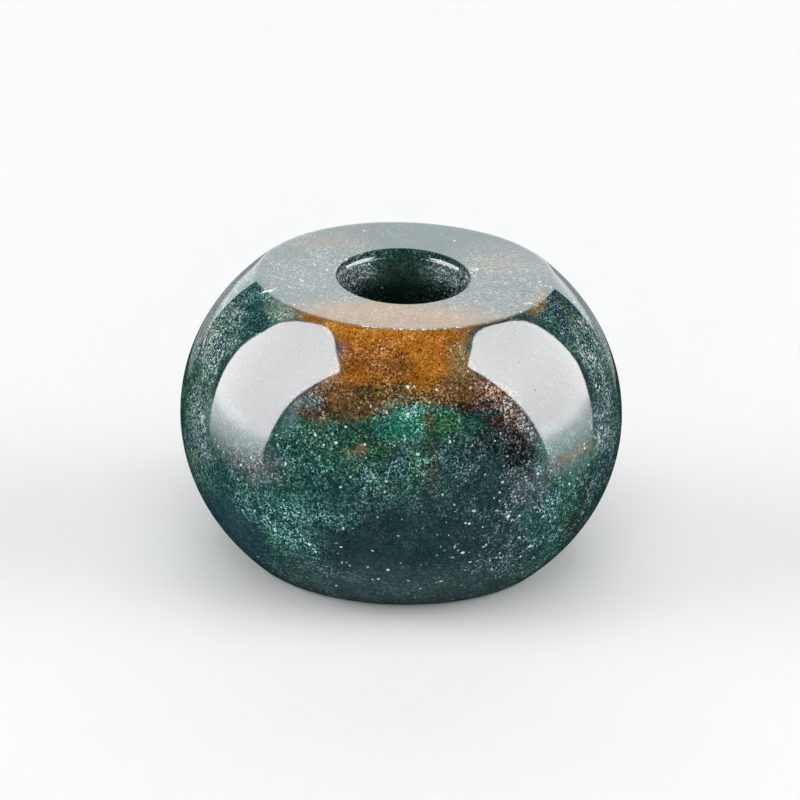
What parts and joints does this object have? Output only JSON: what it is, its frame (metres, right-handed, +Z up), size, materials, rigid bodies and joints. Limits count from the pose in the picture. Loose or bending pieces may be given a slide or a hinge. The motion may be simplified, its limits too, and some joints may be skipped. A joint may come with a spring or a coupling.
{
  "type": "agate bead",
  "caption": "Polished barrel-shaped bead of teal and rust agate, flat at both ends and drilled through its axis to be strung on a cord.",
  "frame": {"origin": "centre of the lower flat, on the bore's axis, at the height of the surface that the bead stands on", "axes": "+Z up along the bore's axis, -Y towards the side with the rust-coloured patch, +X to that side's right"},
  "size_m": [0.018, 0.018, 0.012],
  "materials": {
    "agate": "polished"
  },
  "bodies": {
    "root": {"bead": "agate"}
  },
  "joints": []
}
